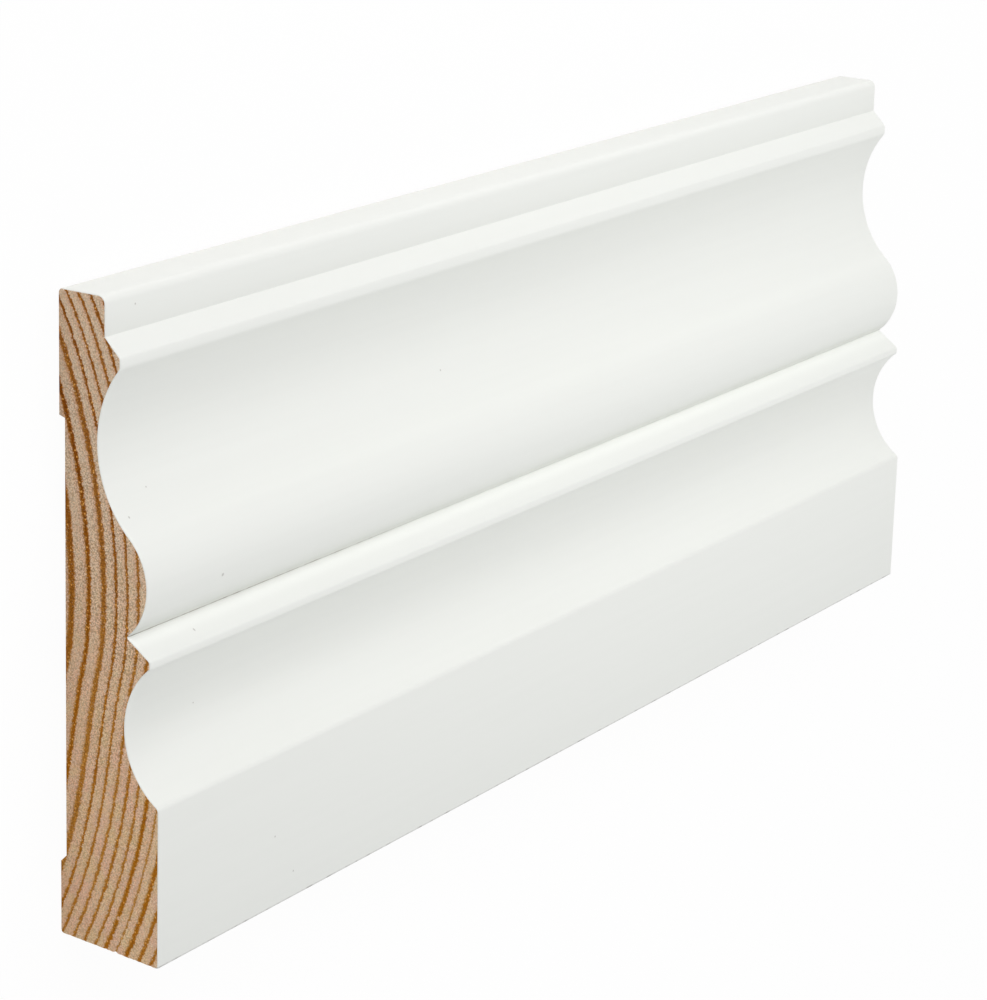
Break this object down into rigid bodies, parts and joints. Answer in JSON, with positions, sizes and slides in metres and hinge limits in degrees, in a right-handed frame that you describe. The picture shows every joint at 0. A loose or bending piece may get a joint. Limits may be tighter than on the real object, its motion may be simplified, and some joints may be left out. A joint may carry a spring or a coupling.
{
  "type": "skirting board length",
  "caption": "Short length of moulded pine skirting board, painted white on its face and top edge, with an upper cove, quirked bulge, lower cove, plain plinth and relieved back.",
  "frame": {"origin": "centre of the board's footprint, at the plane of the two back lands that it rests on", "axes": "+X along the length, +Y from the floor edge to the top edge, +Z out of the moulded face"},
  "size_m": [0.285, 0.12, 0.022],
  "materials": {
    "painted_pine": "satin white paint on the moulded face and top edge, raw sawn pine on the ends, floor edge and back"
  },
  "bodies": {
    "root": {"skirting_board": "painted_pine"}
  },
  "joints": []
}
